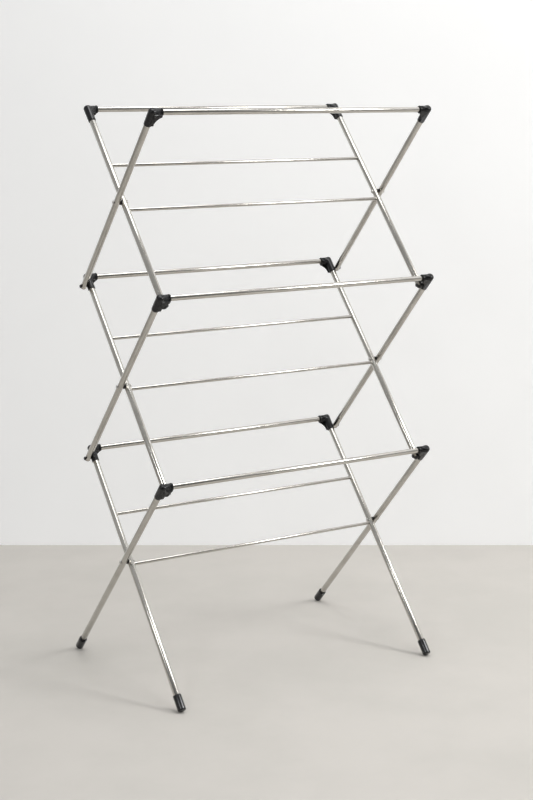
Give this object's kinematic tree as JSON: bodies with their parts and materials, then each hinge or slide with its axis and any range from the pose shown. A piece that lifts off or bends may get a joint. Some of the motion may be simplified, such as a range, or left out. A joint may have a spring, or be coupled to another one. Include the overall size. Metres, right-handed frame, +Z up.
{
  "type": "clothes drying rack",
  "caption": "Free-standing folding drying rack: stacked crossed frames of steel tube with round rails and thin rods, black plastic corner fittings and foot caps.",
  "frame": {"origin": "on the floor, at the middle of the open rack's width and depth", "axes": "+Z up, +X along the rails to the rack's right as seen from the front, +Y to the back"},
  "size_m": [0.7268, 0.5366, 1.3339],
  "materials": {
    "steel_tube": "satin drawn tube",
    "black_fitting": "moulded, satin",
    "foot_cap": "moulded, glossy",
    "black_trim": "moulded, satin",
    "dark_rivet": "blackened domed heads",
    "rivet": "satin domed heads"
  },
  "bodies": {
    "lower_back_frame": {"lower_back_rail": "steel_tube", "lower_rod_high": "steel_tube", "lower_rod_low": "steel_tube", "lower_crossing_rivets": "rivet", "lower_crossing_spacers": "black_trim", "lower_back_leg_left": "steel_tube", "lower_back_corner_left": "black_fitting", "front_foot_left": "foot_cap", "lower_back_leg_right": "steel_tube", "lower_back_corner_right": "black_fitting", "front_foot_right": "foot_cap", "back_lower_pivot_rivets": "dark_rivet"},
    "lower_front_frame": {"lower_front_rail": "steel_tube", "lower_front_leg_left": "steel_tube", "lower_front_corner_left": "black_fitting", "back_foot_left": "foot_cap", "lower_front_leg_right": "steel_tube", "lower_front_corner_right": "black_fitting", "back_foot_right": "foot_cap", "front_lower_pivot_rivets": "dark_rivet"},
    "middle_back_frame": {"middle_back_rail": "steel_tube", "middle_rod_high": "steel_tube", "middle_rod_low": "steel_tube", "middle_crossing_rivets": "rivet", "middle_crossing_spacers": "black_trim", "middle_back_leg_left": "steel_tube", "middle_back_corner_left": "black_fitting", "middle_back_end_plug_left": "black_trim", "middle_back_leg_right": "steel_tube", "middle_back_corner_right": "black_fitting", "middle_back_end_plug_right": "black_trim", "back_upper_pivot_rivets": "dark_rivet"},
    "middle_front_frame": {"middle_front_rail": "steel_tube", "middle_front_leg_left": "steel_tube", "middle_front_corner_left": "black_fitting", "middle_front_end_plug_left": "black_trim", "middle_front_leg_right": "steel_tube", "middle_front_corner_right": "black_fitting", "middle_front_end_plug_right": "black_trim", "front_upper_pivot_rivets": "dark_rivet"},
    "upper_back_frame": {"upper_back_rail": "steel_tube", "upper_rod_high": "steel_tube", "upper_rod_low": "steel_tube", "upper_crossing_rivets": "rivet", "upper_crossing_spacers": "black_trim", "upper_back_leg_left": "steel_tube", "upper_back_corner_left": "black_fitting", "upper_back_end_plug_left": "black_trim", "upper_back_leg_right": "steel_tube", "upper_back_corner_right": "black_fitting", "upper_back_end_plug_right": "black_trim"},
    "upper_front_frame": {"upper_front_rail": "steel_tube", "upper_front_leg_left": "steel_tube", "upper_front_corner_left": "black_fitting", "upper_front_end_plug_left": "black_trim", "upper_front_leg_right": "steel_tube", "upper_front_corner_right": "black_fitting", "upper_front_end_plug_right": "black_trim"}
  },
  "joints": [
    {"name": "lower_fold", "type": "hinge", "parent": "lower_back_frame", "child": "lower_front_frame", "pos_m": [0, -0.01791, 0.291], "axis": [1, 0, 0], "range_deg": [0, 88]},
    {"name": "back_lower_pivot", "type": "hinge", "parent": "lower_back_frame", "child": "middle_front_frame", "pos_m": [0, 0.16458, 0.50467], "axis": [1, 0, 0], "range_deg": [0, 88]},
    {"name": "middle_fold", "type": "hinge", "parent": "middle_front_frame", "child": "middle_back_frame", "pos_m": [0, -0.03237, 0.7051], "axis": [-1, 0, 0], "range_deg": [0, 88]},
    {"name": "back_upper_pivot", "type": "hinge", "parent": "middle_back_frame", "child": "upper_front_frame", "pos_m": [0, 0.15012, 0.91877], "axis": [1, 0, 0], "range_deg": [0, 88]},
    {"name": "upper_fold", "type": "hinge", "parent": "upper_front_frame", "child": "upper_back_frame", "pos_m": [0, -0.04684, 1.11919], "axis": [-1, 0, 0], "range_deg": [0, 88]}
  ],
  "couplings": [
    {"joint": "back_lower_pivot", "follows": "lower_fold", "ratio": 1},
    {"joint": "middle_fold", "follows": "lower_fold", "ratio": 1},
    {"joint": "back_upper_pivot", "follows": "lower_fold", "ratio": 1},
    {"joint": "upper_fold", "follows": "lower_fold", "ratio": 1}
  ]
}
